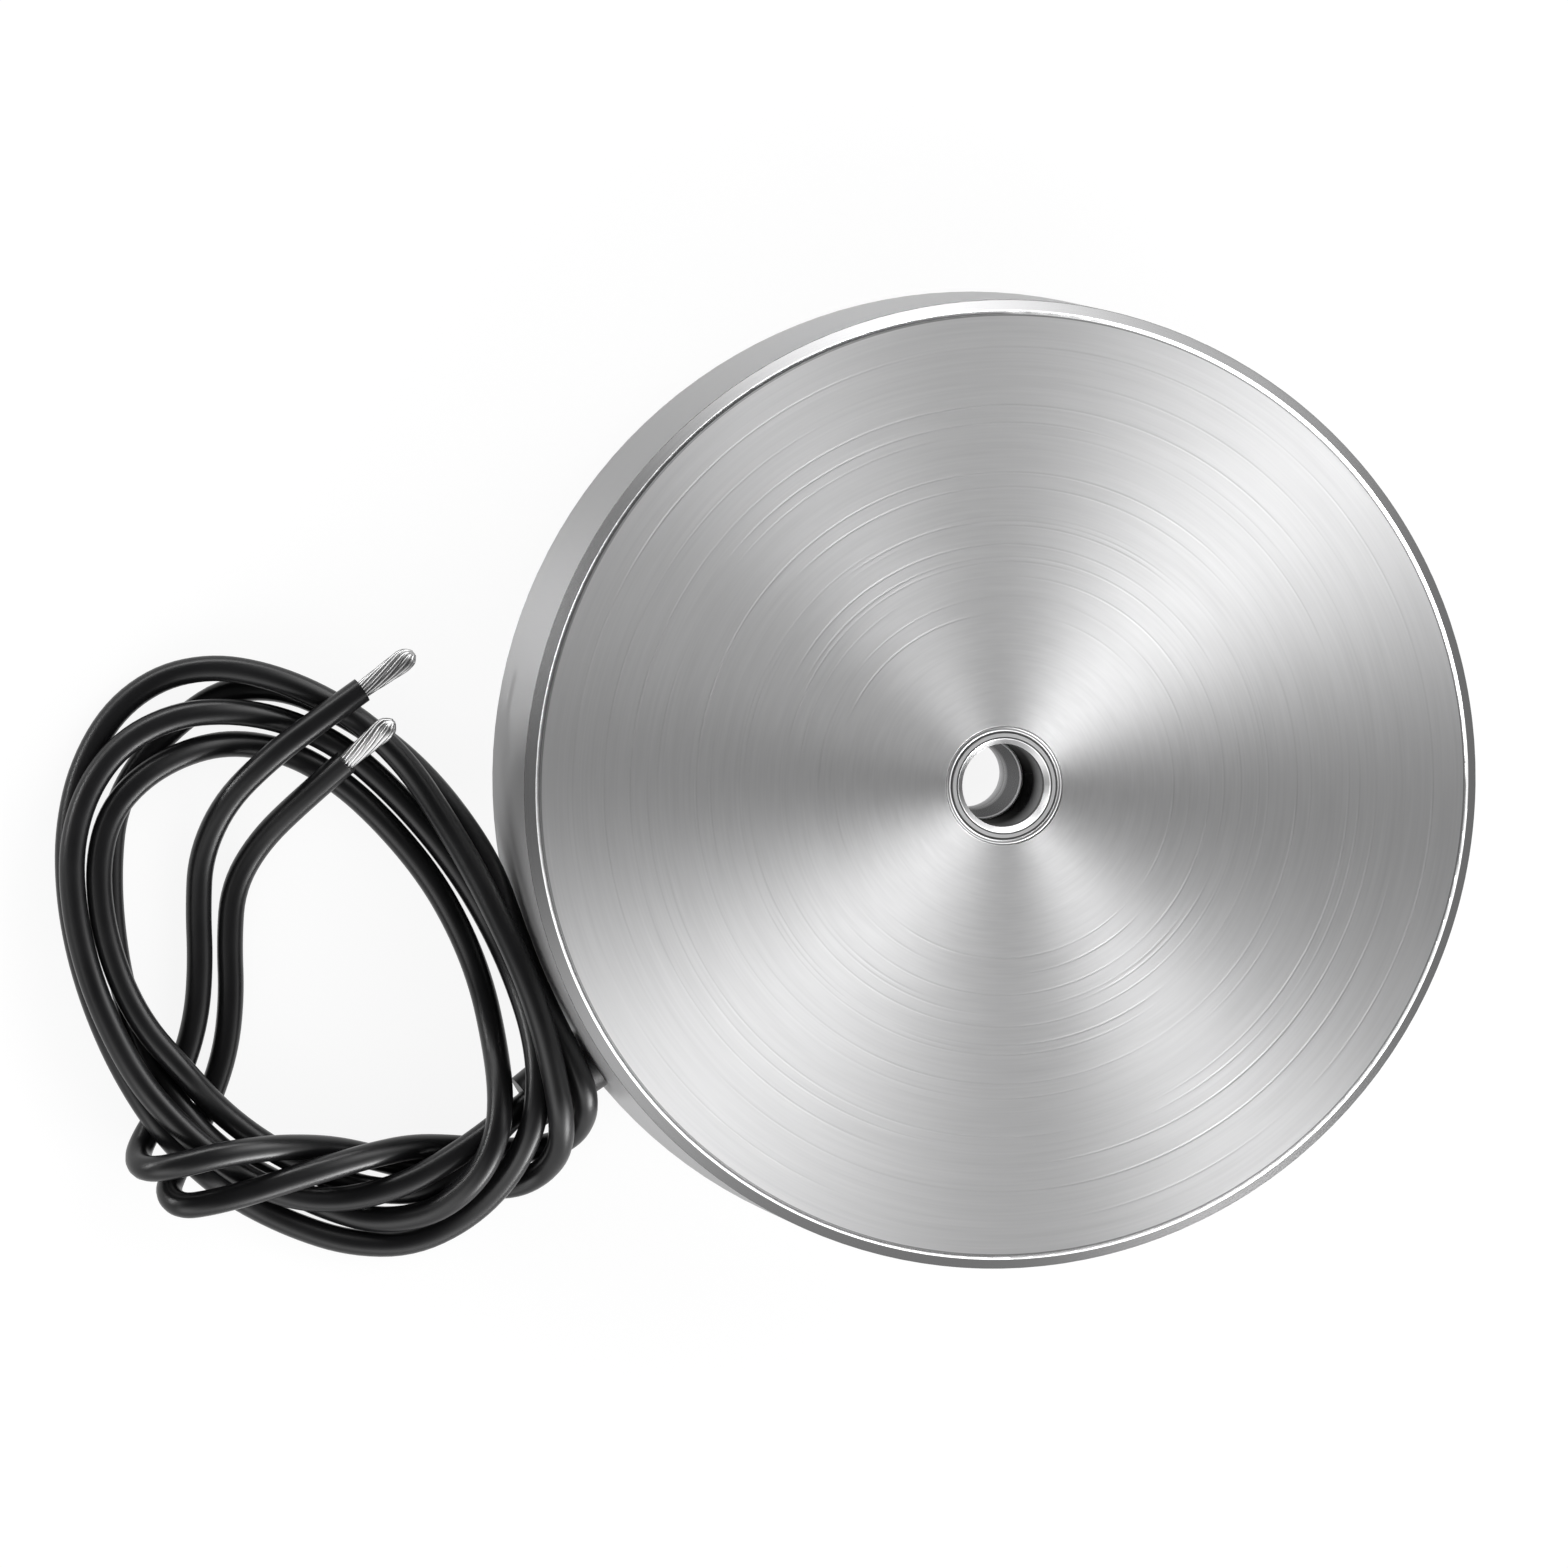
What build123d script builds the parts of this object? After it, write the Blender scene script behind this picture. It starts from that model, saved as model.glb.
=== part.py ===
"""Flat round holding electromagnet with two coiled leads, in millimetres.

The body lies flat: +Z is its axis, z = 0 is the working face on the surface it rests on,
and the origin is the centre of that face. The turned mounting face looks up.
"""
from build123d import *
import math
import os

# Steel pot: a turned cup, closed at the top by its base
POT_RADIUS = 50.0
POT_HEIGHT = 20.0
POT_WALL = 5.5
POT_BASE = 6.0
RIM_CHAMFER = 1.2
RIM_INNER_ROUND = 0.55
RIM_OUTER_ROUND = 0.15
MOUTH_CHAMFER = 0.4

# Turned bush that lines the upper part of the bore
BUSH_BORE_RADIUS = 4.3
BUSH_WALL = 1.8
BUSH_LENGTH = 11.5

# Centre pole: below the bush a small ledge and a taper lead down to the narrow bore
CORE_CHAMFER = 0.4
BORE_LEDGE = 0.15
BORE_TAPER = 0.65
BORE_TAPER_LENGTH = 5.5

# Rings turned in the mouth of the bush, from its edge inwards
MOUTH_LIP_WIDTH = 0.52
MOUTH_GROOVE_WIDTH = 0.2
MOUTH_GROOVE_DEPTH = 0.2
MOUTH_RING_WIDTH = 0.38
MOUTH_LINE_WIDTH = 0.1
MOUTH_LINE_DEPTH = 0.1
POT_HOLE_CHAMFER = 0.12

# Coil: bobbin, winding, tape and insulation washer
BOBBIN_CLEARANCE = 0.2
BOBBIN_WALL = 1.0
FLANGE_THICKNESS = 1.0
WASHER_THICKNESS = 0.5
WIRE_TURNS = 10
COIL_DEPTH = 15.2
WINDING_INSET = 1.3
TAPE_THICKNESS = 0.4
TAPE_CLEARANCE = 0.02

# Ends of the coil, led out to the joints in the room beside the bobbin
MAGNET_WIRE_OD = 0.8
WIRE_SLOT_WIDTH = 1.2
WIRE_ROOM = 1.6
WIRE_BEND_RADIUS = 0.3
WIRE_END_RUN = 0.6
START_WIRE_INSET = 0.6
FINISH_WIRE_RUN = 1.0

# Resin ring that seals the coil, slightly below the pole faces
RESIN_RECESS = 0.3
RESIN_THICKNESS = 1.0

# Strain relief and the two leads that pass through it, one above the other
LEAD_OD = 2.7
EXIT_ANGLE = 216.0
EXIT_HEIGHT = 4.4
LEAD_SPACING = 2.8
SLEEVE_BODY_RADIUS = 3.1
SLEEVE_ROOT_RADIUS = 3.4
SLEEVE_TIP_RADIUS = 3.0
SLEEVE_LENGTH = 7.5
SLEEVE_ROOT_BITE = 0.6
LEAD_FAN = 0.25

# Where each lead starts inside the pot's wall, bends outside it, and leaves the strain relief
LEAD_INNER_GAP = 0.3
LEAD_BEND_REACH = 1.5
LEAD_OUT_REACH = 1.5

# Crimped joints between the leads and the magnet wire
SPLICE_RADIUS = 0.95
SPLICE_LENGTH = 2.4
COVER_WALL = 0.35
COVER_CLEARANCE = 0.02

# Stripped lead ends: strands round a middle one, twisted together
TIP_LENGTH = 6.6
TIP_RADIUS = 1.15
TIP_DOME_RADIUS = 1.5
TIP_STRANDS = 14
TIP_TWIST = 80.0

# Share of the shorter run beside a corner that its arc may take up
ARC_SHARE = 0.45

# How far a cutting body reaches past what it cuts
CUT_MARGIN = 2.0

# Point of the pot's wall that the routes below were laid from; they move with that point
LAID_FROM = (-40.451, -29.389)

# Routes of the leads beyond the strain relief: x, y and height of the lead's centre
LEAD_A_ROUTE = [
    # out along the bottom of the coil
    (-53.8, -38.7, 7.1), (-59.0, -42.0, 5.7), (-64.5, -43.8, 4.3), (-70.0, -43.9, 4.1),
    (-75.0, -42.2, 4.5), (-79.5, -39.2, 6.5), (-83.5, -36.0, 6.9),
    # first turn: left side, top, right side down over the strain relief
    (-87.5, -31.5, 6.4), (-90.5, -26.0, 5.4), (-92.7, -20.3, 4.4), (-94.2, -14.0, 4.1),
    (-94.6, -7.5, 4.1), (-93.0, -1.5, 4.1), (-89.5, 3.3, 4.1),
    (-84.0, 6.2, 4.2), (-78.0, 6.7, 3.9), (-71.8, 5.5, 2.0), (-66.0, 2.8, 1.35),
    (-61.0, -1.4, 1.35), (-56.5, -6.2, 1.35), (-52.7, -11.2, 1.35),
    (-49.6, -16.5, 1.5), (-47.6, -21.5, 3.4), (-46.4, -26.5, 6.6), (-46.2, -31.5, 9.2),
    (-46.8, -36.5, 8.7), (-48.8, -41.5, 5.8), (-52.5, -45.9, 3.0),
    (-58.0, -48.8, 1.4), (-64.5, -48.7, 1.35), (-70.5, -46.8, 1.35), (-76.2, -44.0, 1.7),
    # second turn
    (-80.9, -40.6, 4.2), (-85.2, -36.2, 4.5), (-88.7, -30.6, 3.2), (-91.4, -24.5, 2.0),
    (-93.3, -18.3, 1.35), (-94.4, -12.0, 1.35), (-94.5, -5.8, 1.35), (-93.2, 0.5, 1.35),
    (-90.0, 6.3, 1.35),
    (-85.3, 9.9, 1.6), (-80.0, 11.2, 3.2), (-74.5, 10.4, 4.1), (-68.8, 8.2, 4.1),
    (-63.5, 4.9, 4.1), (-59.4, 0.8, 4.5), (-56.3, -4.0, 5.8),
    (-53.4, -9.2, 8.4), (-50.9, -14.6, 11.2), (-48.5, -20.0, 12.5), (-46.6, -25.2, 12.5),
    (-45.2, -30.2, 11.7), (-44.2, -34.6, 10.9), (-43.6, -38.3, 7.6),
    # back under the coil
    (-44.6, -41.1, 3.6), (-47.5, -42.9, 1.5), (-52.0, -42.6, 1.35), (-56.5, -41.3, 1.35),
    (-61.5, -39.9, 1.35), (-66.5, -38.7, 2.9), (-71.5, -38.2, 6.2), (-76.0, -38.3, 8.6),
    # round the coil once, at its lower left
    (-80.3, -38.9, 9.7), (-84.0, -39.9, 9.2), (-86.7, -40.5, 7.1), (-87.4, -39.9, 4.2),
    (-86.5, -38.1, 1.8), (-84.4, -34.8, 1.35),
    # free end, up inside the coil and out over its top
    (-82.2, -30.2, 1.35), (-80.8, -25.0, 1.35), (-80.5, -19.5, 1.35), (-80.8, -13.8, 1.35),
    (-80.7, -8.4, 2.0), (-78.6, -2.8, 4.0), (-74.4, 1.9, 6.2), (-69.7, 5.6, 7.0),
    (-64.9, 9.0, 7.0),
]
LEAD_B_ROUTE = [
    # out along the bottom of the coil, under the other lead
    (-52.1, -39.5, 4.5), (-56.2, -43.0, 4.0), (-61.5, -43.3, 2.0), (-66.5, -42.0, 1.35),
    (-71.3, -39.7, 2.9), (-75.4, -37.3, 3.9), (-79.3, -34.2, 4.4),
    # first turn, inside the other lead
    (-83.1, -30.2, 6.0), (-86.8, -26.1, 5.3), (-89.4, -21.2, 4.4), (-91.2, -15.4, 4.1),
    (-91.8, -9.3, 4.1), (-90.6, -3.9, 4.15),
    (-87.2, 0.0, 4.3), (-82.3, 2.5, 3.3), (-77.0, 3.3, 1.5), (-71.3, 2.2, 1.35),
    (-65.9, -0.9, 1.35), (-61.0, -5.4, 1.35), (-56.6, -10.6, 1.35),
    (-53.4, -16.0, 1.35), (-51.1, -21.6, 1.5), (-50.1, -27.2, 3.6), (-50.0, -32.4, 7.8),
    (-50.6, -37.0, 9.7), (-52.6, -41.6, 8.5), (-56.5, -45.3, 5.4),
    (-61.9, -46.4, 2.2), (-67.4, -44.8, 1.4), (-72.3, -42.4, 1.35), (-76.7, -40.1, 2.7),
    # second turn, last along the pot's wall and over the strain relief
    (-80.9, -36.8, 4.4), (-84.1, -32.7, 4.3), (-86.7, -27.8, 2.1), (-88.7, -22.0, 1.35),
    (-89.8, -15.5, 1.35), (-90.1, -9.5, 1.35), (-89.6, -3.7, 1.35), (-87.1, 1.1, 1.35),
    (-83.1, 5.4, 1.35),
    (-78.0, 8.8, 1.35), (-72.0, 8.9, 1.35), (-66.4, 6.5, 1.35), (-61.3, 3.3, 1.35),
    (-57.0, -0.6, 2.0), (-53.5, -5.2, 4.2), (-50.9, -9.9, 6.6),
    (-49.3, -15.0, 8.6), (-47.5, -20.0, 9.6), (-45.2, -24.8, 9.9), (-43.0, -29.0, 10.0),
    (-41.3, -32.8, 9.2), (-40.9, -36.0, 5.0),
    # back under the coil
    (-42.6, -38.3, 2.2), (-46.2, -39.1, 1.35), (-50.2, -39.1, 1.35), (-54.3, -38.7, 1.6),
    (-58.6, -38.5, 3.4), (-63.2, -39.2, 5.5), (-67.8, -40.3, 7.1), (-72.2, -41.6, 7.5),
    (-76.4, -42.9, 7.6),
    # round the coil once, at its lower left
    (-80.2, -43.9, 7.2), (-83.0, -44.4, 6.0), (-84.1, -43.3, 3.6), (-83.1, -41.4, 1.6),
    (-81.4, -38.2, 1.35),
    # free end, up inside the coil and out over its top
    (-79.4, -33.8, 1.35), (-77.7, -28.5, 1.35), (-77.2, -22.9, 1.35), (-77.5, -17.3, 1.35),
    (-77.2, -11.8, 1.4), (-74.8, -7.0, 2.7), (-70.8, -2.5, 5.2), (-66.5, 1.6, 7.2),
]

cavity_radius = POT_RADIUS - POT_WALL
cavity_top = POT_HEIGHT - POT_BASE
bush_bottom = POT_HEIGHT - BUSH_LENGTH
resin_top = RESIN_RECESS + RESIN_THICKNESS
lower_flange_top = resin_top + FLANGE_THICKNESS
upper_flange_top = cavity_top - WASHER_THICKNESS
upper_flange_bottom = upper_flange_top - FLANGE_THICKNESS
turn_pitch = (upper_flange_bottom - lower_flange_top) / WIRE_TURNS
lead_radius = LEAD_OD / 2
start_lead_height = EXIT_HEIGHT - LEAD_SPACING / 2
finish_lead_height = EXIT_HEIGHT + LEAD_SPACING / 2
splice_outer_end = cavity_radius - LEAD_INNER_GAP
splice_inner_end = splice_outer_end - SPLICE_LENGTH
flange_radius = splice_inner_end - WIRE_ROOM
winding_radius = flange_radius - WINDING_INSET
bobbin_outer = winding_radius - COIL_DEPTH
bobbin_inner = bobbin_outer - BOBBIN_WALL
core_radius = bobbin_inner - BOBBIN_CLEARANCE
bush_radius = BUSH_BORE_RADIUS + BUSH_WALL
taper_top_radius = BUSH_BORE_RADIUS - BORE_LEDGE
bore_radius = taper_top_radius - BORE_TAPER
sleeve_tip = POT_RADIUS + SLEEVE_LENGTH


def turned(points):
    """Solid turned about Z from a closed outline of (radius, height) points."""
    outline = Polyline(*[(r, 0, z) for r, z in points], close=True)
    return revolve(make_face(outline), Axis.Z)


def ring(inner, outer, bottom, top):
    """Plain ring about Z."""
    return turned([(inner, bottom), (outer, bottom), (outer, top), (inner, top)])


def at_exit(radius, height, side=0.0):
    """Point on the line of the strain relief, at a radius from the axis and a height."""
    a = math.radians(EXIT_ANGLE)
    x = radius * math.cos(a) - side * math.sin(a)
    y = radius * math.sin(a) + side * math.cos(a)
    return Vector(x, y, height)


def rod_at_exit(start, end, height, radius, end_radius=None):
    """Rod or cone along the strain relief's line, between two radii from the axis."""
    direction = at_exit(1, 0)
    plane = Plane(origin=at_exit(start, height), z_dir=direction)
    length = end - start
    if end_radius is None:
        body = Cylinder(radius, length, align=(Align.CENTER, Align.CENTER, Align.MIN))
    else:
        body = Cone(radius, end_radius, length, align=(Align.CENTER, Align.CENTER, Align.MIN))
    return plane * body


def tube_along(path, radius):
    """Round tube, solid, swept along a path that starts anywhere."""
    section = Plane(origin=path @ 0, z_dir=path % 0) * Circle(radius)
    return sweep(section, path=path)


def make_pot():
    """Turned cup with the rim chamfer, the bush's hole and the strain relief's hole."""
    outline = [
        (bush_radius + POT_HOLE_CHAMFER, POT_HEIGHT),
        (POT_RADIUS - RIM_CHAMFER, POT_HEIGHT),
        (POT_RADIUS, POT_HEIGHT - RIM_CHAMFER),
        (POT_RADIUS, MOUTH_CHAMFER),
        (POT_RADIUS - MOUTH_CHAMFER, 0),
        (cavity_radius + MOUTH_CHAMFER, 0),
        (cavity_radius, MOUTH_CHAMFER),
        (cavity_radius, cavity_top),
        (bush_radius, cavity_top),
        (bush_radius, POT_HEIGHT - POT_HOLE_CHAMFER),
    ]
    pot = turned(outline)
    circles = pot.edges().filter_by(GeomType.CIRCLE)
    rim = circles.filter_by(lambda e: e.center().Z > cavity_top and e.radius > cavity_radius)
    outer, inner = rim.sort_by(Axis.Z)
    pot = fillet(outer, RIM_OUTER_ROUND)
    inner = pot.edges().filter_by(GeomType.CIRCLE).filter_by(
        lambda e: e.center().Z > POT_HEIGHT - RIM_OUTER_ROUND and e.radius > cavity_radius)
    pot = fillet(inner, RIM_INNER_ROUND)
    hole = rod_at_exit(
        cavity_radius - CUT_MARGIN, POT_RADIUS + CUT_MARGIN, EXIT_HEIGHT, SLEEVE_BODY_RADIUS)
    return pot - hole


def make_core():
    """Centre pole with the bush's seat, and below it a taper and the narrow bore."""
    return turned([
        (bore_radius + CORE_CHAMFER, 0),
        (core_radius - CORE_CHAMFER, 0),
        (core_radius, CORE_CHAMFER),
        (core_radius, cavity_top),
        (bush_radius, cavity_top),
        (bush_radius, bush_bottom),
        (taper_top_radius, bush_bottom),
        (bore_radius, bush_bottom - BORE_TAPER_LENGTH),
        (bore_radius, CORE_CHAMFER),
    ])


def make_bore_bush():
    """Bush with a rounded lip, a groove, a second ring, a fine line and a chamfered mouth."""
    lip_in = bush_radius - MOUTH_LIP_WIDTH
    ring_out = lip_in - MOUTH_GROOVE_WIDTH
    ring_in = ring_out - MOUTH_RING_WIDTH
    line_in = ring_in - MOUTH_LINE_WIDTH
    mouth_depth = line_in - BUSH_BORE_RADIUS
    low = POT_HEIGHT - MOUTH_GROOVE_DEPTH
    outline = Polyline(
        (lip_in, 0, low),
        (ring_out, 0, low),
        (ring_out, 0, POT_HEIGHT),
        (ring_in, 0, POT_HEIGHT),
        (ring_in, 0, POT_HEIGHT - MOUTH_LINE_DEPTH),
        (line_in, 0, POT_HEIGHT - MOUTH_LINE_DEPTH),
        (line_in, 0, POT_HEIGHT),
        (BUSH_BORE_RADIUS, 0, POT_HEIGHT - mouth_depth),
        (BUSH_BORE_RADIUS, 0, bush_bottom),
        (bush_radius, 0, bush_bottom),
        (bush_radius, 0, low),
    )
    lip = ThreePointArc((bush_radius, 0, low), ((bush_radius + lip_in) / 2, 0, POT_HEIGHT), (lip_in, 0, low))
    return revolve(make_face([outline, lip]), Axis.Z)


def make_bobbin():
    """Coil former: a tube and two flanges, the lower one slotted for the start wire."""
    bobbin = turned([
        (bobbin_inner, resin_top),
        (flange_radius, resin_top),
        (flange_radius, lower_flange_top),
        (bobbin_outer, lower_flange_top),
        (bobbin_outer, upper_flange_bottom),
        (flange_radius, upper_flange_bottom),
        (flange_radius, upper_flange_top),
        (bobbin_inner, upper_flange_top),
    ])
    length = flange_radius - bobbin_outer + CUT_MARGIN
    middle = at_exit(bobbin_outer + length / 2, resin_top + FLANGE_THICKNESS / 2)
    cutter = Box(length, WIRE_SLOT_WIDTH, FLANGE_THICKNESS + CUT_MARGIN)
    return bobbin - Location(middle, (0, 0, EXIT_ANGLE)) * cutter


def make_winding():
    """Layered coil: its outer layer shows one crest for each turn."""
    flank = turn_pitch / 4
    valley = winding_radius - flank
    outline = [(bobbin_outer, upper_flange_bottom), (bobbin_outer, lower_flange_top)]
    for turn in range(WIRE_TURNS):
        low = lower_flange_top + turn * turn_pitch
        outline.append((valley, low))
        outline.append((winding_radius, low + flank))
        outline.append((winding_radius, low + turn_pitch - flank))
    outline.append((valley, upper_flange_bottom))
    return turned(outline)


def make_coil_tape():
    """Insulating wrap that leaves the lowest turn bare, where the finish wire comes out."""
    inner = winding_radius + TAPE_CLEARANCE
    return ring(inner, inner + TAPE_THICKNESS, lower_flange_top + turn_pitch, upper_flange_bottom)


def make_base_washer():
    """Insulation washer between the bobbin and the pot's base."""
    return ring(bobbin_inner, flange_radius, upper_flange_top, cavity_top)


def make_potting_resin():
    """Cast ring between the centre pole and the pot's wall."""
    return ring(core_radius, cavity_radius, RESIN_RECESS, resin_top)


def make_lead_sleeve(pot, leads):
    """Strain relief: a plug in the wall's hole and a taper outside it, moulded round the leads."""
    inner_end = math.sqrt(cavity_radius**2 - SLEEVE_BODY_RADIUS**2)
    plug = rod_at_exit(inner_end, POT_RADIUS, EXIT_HEIGHT, SLEEVE_BODY_RADIUS)
    taper = rod_at_exit(POT_RADIUS - SLEEVE_ROOT_BITE, sleeve_tip, EXIT_HEIGHT,
                        SLEEVE_ROOT_RADIUS, SLEEVE_TIP_RADIUS)
    sleeve = plug + (taper - pot)
    for lead in leads:
        sleeve -= lead
    return sleeve


def make_splice(height):
    """Crimped joint at the inner end of a lead."""
    return rod_at_exit(splice_inner_end, splice_outer_end, height, SPLICE_RADIUS)


def make_splice_cover(height):
    """Shrink tube over a joint."""
    inner = SPLICE_RADIUS + COVER_CLEARANCE
    outer = rod_at_exit(splice_inner_end, splice_outer_end, height, inner + COVER_WALL)
    hole = rod_at_exit(splice_inner_end - CUT_MARGIN, splice_outer_end + CUT_MARGIN, height, inner)
    return outer - hole


def make_start_wire():
    """Inner end of the coil, led out in the lower flange's slot to its joint."""
    height = resin_top + FLANGE_THICKNESS / 2
    path = FilletPolyline(
        at_exit(bobbin_outer + START_WIRE_INSET, height),
        at_exit(flange_radius, height),
        at_exit(splice_inner_end - WIRE_END_RUN, start_lead_height),
        at_exit(splice_inner_end, start_lead_height),
        radius=WIRE_BEND_RADIUS)
    return tube_along(path, MAGNET_WIRE_OD / 2)


def make_finish_wire():
    """Outer end of the coil, led from its lowest turn up to its joint."""
    height = lower_flange_top + turn_pitch / 2
    path = FilletPolyline(
        at_exit(winding_radius, height),
        at_exit(winding_radius + FINISH_WIRE_RUN, height),
        at_exit(splice_inner_end - WIRE_END_RUN, finish_lead_height),
        at_exit(splice_inner_end, finish_lead_height),
        radius=WIRE_BEND_RADIUS)
    return tube_along(path, MAGNET_WIRE_OD / 2)


def lead_points(height, fan, route):
    """A lead's whole route: from its joint, through the strain relief, then as laid."""
    inner = at_exit(splice_outer_end, height)
    bend = at_exit(POT_RADIUS + LEAD_BEND_REACH, height)
    out = at_exit(sleeve_tip + LEAD_OUT_REACH, height, fan)
    shift = at_exit(POT_RADIUS, 0) - Vector(*LAID_FROM)
    return [inner, bend, out] + [Vector(*point) + shift for point in route]


def lead_path(points):
    """Straight runs joined by the largest tangent arcs that they leave room for."""
    radii = []
    for before, here, after in zip(points, points[1:], points[2:]):
        into, out = here - before, after - here
        half_turn = math.radians(into.get_angle(out)) / 2
        radii.append(ARC_SHARE * min(into.length, out.length) / math.tan(half_turn))
    return FilletPolyline(*points, radius=radii), radii


def make_lead(name, points):
    """Insulated lead, swept along its route."""
    path, radii = lead_path(points)
    lead = tube_along(path, lead_radius)
    expected = math.pi * lead_radius**2 * path.length
    print(f"{name}: length {path.length:.1f} mm, volume {lead.volume:.1f} of {expected:.1f} mm3")
    print(f"{name}: bend radii", " ".join(f"{r:.1f}" for r in radii))
    return lead


def make_lead_tip(points):
    """Stripped end: strands round a middle one, twisted about the lead's last run, end rounded."""
    strand = TIP_RADIUS * math.sin(math.pi / TIP_STRANDS) / (1 + math.sin(math.pi / TIP_STRANDS))
    middle = TIP_RADIUS - strand
    section = Circle(middle)
    for place in PolarLocations(middle, TIP_STRANDS):
        section += place * Circle(strand)
    twisted = Solid.extrude_linear_with_rotation(
        section.face().outer_wire(), (0, 0, 0), (0, 0, TIP_LENGTH), TIP_TWIST)
    body_length = TIP_LENGTH - TIP_DOME_RADIUS
    rod = Cylinder(TIP_DOME_RADIUS, body_length, align=(Align.CENTER, Align.CENTER, Align.MIN))
    rod += Pos(0, 0, body_length) * Sphere(TIP_DOME_RADIUS)
    return Plane(origin=points[-1], z_dir=points[-1] - points[-2]) * (twisted & rod)


def make_parts():
    """Every piece, by name."""
    pot = make_pot()
    route_a = lead_points(finish_lead_height, -LEAD_FAN, LEAD_A_ROUTE)
    route_b = lead_points(start_lead_height, LEAD_FAN, LEAD_B_ROUTE)
    lead_a = make_lead("lead_a", route_a)
    lead_b = make_lead("lead_b", route_b)
    return {
        "pot": pot,
        "core": make_core(),
        "bore_bush": make_bore_bush(),
        "bobbin": make_bobbin(),
        "winding": make_winding(),
        "coil_tape": make_coil_tape(),
        "base_washer": make_base_washer(),
        "potting_resin": make_potting_resin(),
        "start_wire": make_start_wire(),
        "finish_wire": make_finish_wire(),
        "start_splice": make_splice(start_lead_height),
        "finish_splice": make_splice(finish_lead_height),
        "start_splice_cover": make_splice_cover(start_lead_height),
        "finish_splice_cover": make_splice_cover(finish_lead_height),
        "lead_sleeve": make_lead_sleeve(pot, [lead_a, lead_b]),
        "lead_a": lead_a,
        "lead_b": lead_b,
        "lead_a_tip": make_lead_tip(route_a),
        "lead_b_tip": make_lead_tip(route_b),
    }


os.makedirs("parts", exist_ok=True)
for name, solid in make_parts().items():
    export_step(solid, f"parts/{name}.step")
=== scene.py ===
"""Looks of a flat round holding electromagnet with two loosely coiled leads.

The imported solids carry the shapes. This script gives each of them its finish, lays the two
leads as smooth curves, and sets up the floor, the studio light and the camera.
"""
from __future__ import annotations

import logging
import math
from dataclasses import dataclass, field
from enum import Enum

import bmesh
import bpy
from mathutils import Matrix, Vector

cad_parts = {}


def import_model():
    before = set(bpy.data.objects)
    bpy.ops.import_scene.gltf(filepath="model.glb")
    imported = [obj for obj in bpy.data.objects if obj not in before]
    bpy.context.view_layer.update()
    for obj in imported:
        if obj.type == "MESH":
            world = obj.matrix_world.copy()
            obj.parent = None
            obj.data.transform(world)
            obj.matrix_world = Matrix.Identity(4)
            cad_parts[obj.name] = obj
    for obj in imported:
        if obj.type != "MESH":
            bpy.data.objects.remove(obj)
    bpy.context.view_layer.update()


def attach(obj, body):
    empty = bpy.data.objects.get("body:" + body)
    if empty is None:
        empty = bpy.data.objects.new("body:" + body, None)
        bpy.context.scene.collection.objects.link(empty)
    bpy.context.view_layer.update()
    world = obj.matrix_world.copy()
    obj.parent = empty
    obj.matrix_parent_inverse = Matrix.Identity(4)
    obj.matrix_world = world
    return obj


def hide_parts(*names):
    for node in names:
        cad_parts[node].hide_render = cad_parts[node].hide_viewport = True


LOG = logging.getLogger("electromagnet")
MM = 0.001

# Turning marks: each layer's reach round the axis, and its lines per metre of the outline
FINE_MARKS = ((2.2, 4200.0), (5.0, 1900.0))
BROAD_MARKS = 380.0
# Noise scales of the fine grain and the slow clouds on moulded and drawn surfaces
GRAIN_SCALE = 2600.0
CLOUD_SCALE = 160.0
# The range that nearly all of a noise lies in
NOISE_RANGE = (0.2, 0.8)
# How a heavier ring comes and goes round a turned piece
RING_SHIFT = 3.7
RING_PATCHES = 1.3
RING_FADE = (0.4, 0.62)
RING_FAINTEST = 0.05

Point = tuple[float, float, float]
Colour = tuple[float, float, float]


class Socket(Enum):
    """The kinds of value that a node group takes and gives."""

    NUMBER = "NodeSocketFloat"
    VECTOR = "NodeSocketVector"


def grey(level: float) -> tuple[float, float, float, float]:
    """Gives a grey of a level from 0 to 1, as a socket takes it."""
    return (level, level, level, 1.0)


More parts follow.
